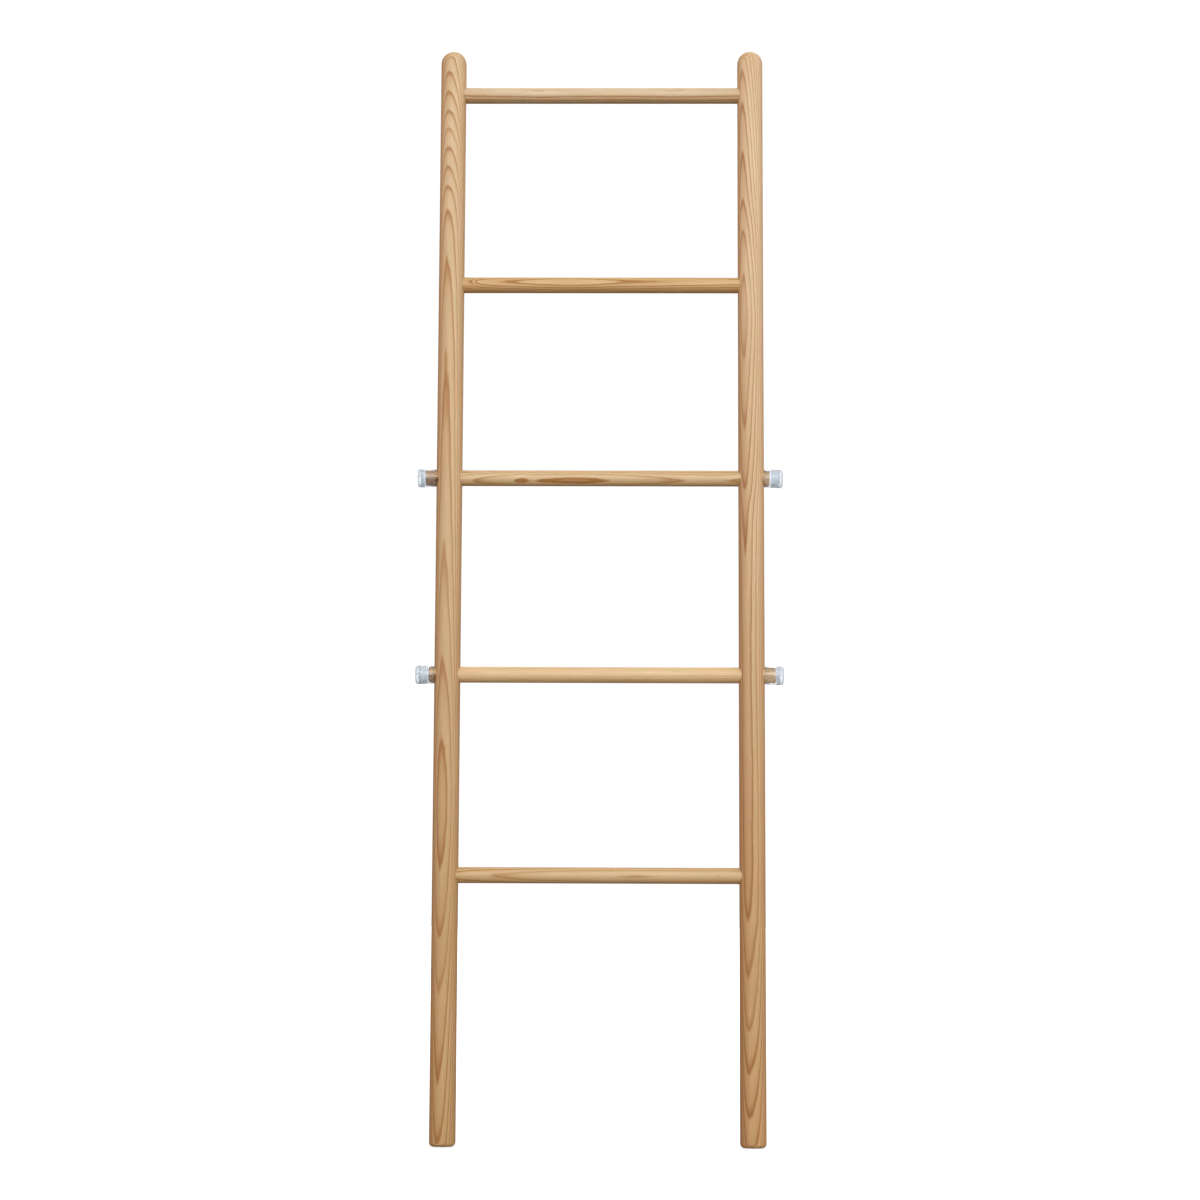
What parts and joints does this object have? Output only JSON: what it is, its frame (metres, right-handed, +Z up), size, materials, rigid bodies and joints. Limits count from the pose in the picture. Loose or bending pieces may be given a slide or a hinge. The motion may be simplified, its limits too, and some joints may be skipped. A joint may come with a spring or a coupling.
{
  "type": "ladder rack",
  "caption": "Upright wooden ladder rack for quilts and towels: round-topped stiles, glued rungs, and loose rungs that slide out sideways once a clear end cap is pulled off.",
  "frame": {"origin": "on the floor, under the middle of the rack's bounding box", "axes": "+Z up along the stiles, +X to the viewer's right along the rungs, front of the rack towards -Y, wall behind it towards +Y"},
  "size_m": [0.5624, 0.0368, 1.6951],
  "materials": {
    "stile_wood": "satin clear-coated ash or oak with cathedral grain",
    "rung_wood": "satin clear-coated ash or oak with straight grain",
    "clear_vinyl": "clear soft vinyl, slightly milky",
    "bumper_clear": "clear soft elastomer"
  },
  "bodies": {
    "frame": {"left_stile": "stile_wood", "right_stile": "stile_wood", "top_rung": "rung_wood", "second_rung": "rung_wood", "bottom_rung": "rung_wood", "left_foot_bumper": "bumper_clear", "right_foot_bumper": "bumper_clear", "left_wall_bumper": "bumper_clear", "right_wall_bumper": "bumper_clear"},
    "upper_rung": {"upper_loose_rung": "rung_wood"},
    "lower_rung": {"lower_loose_rung": "rung_wood"},
    "cap_upper_left": {"upper_left_cap": "clear_vinyl"},
    "cap_upper_right": {"upper_right_cap": "clear_vinyl"},
    "cap_lower_left": {"lower_left_cap": "clear_vinyl"},
    "cap_lower_right": {"lower_right_cap": "clear_vinyl"}
  },
  "joints": [
    {"name": "upper_rung_slide", "type": "slide", "parent": "frame", "child": "upper_rung", "axis": [-1, 0, 0], "range_m": [0, 0.535]},
    {"name": "lower_rung_slide", "type": "slide", "parent": "frame", "child": "lower_rung", "axis": [1, 0, 0], "range_m": [0, 0.535]},
    {"name": "upper_left_cap_pull", "type": "slide", "parent": "upper_rung", "child": "cap_upper_left", "axis": [-1, 0, 0], "range_m": [0, 0.03]},
    {"name": "upper_right_cap_pull", "type": "slide", "parent": "frame", "child": "cap_upper_right", "axis": [1, 0, 0], "range_m": [0, 0.03]},
    {"name": "lower_left_cap_pull", "type": "slide", "parent": "frame", "child": "cap_lower_left", "axis": [-1, 0, 0], "range_m": [0, 0.03]},
    {"name": "lower_right_cap_pull", "type": "slide", "parent": "lower_rung", "child": "cap_lower_right", "axis": [1, 0, 0], "range_m": [0, 0.03]}
  ]
}
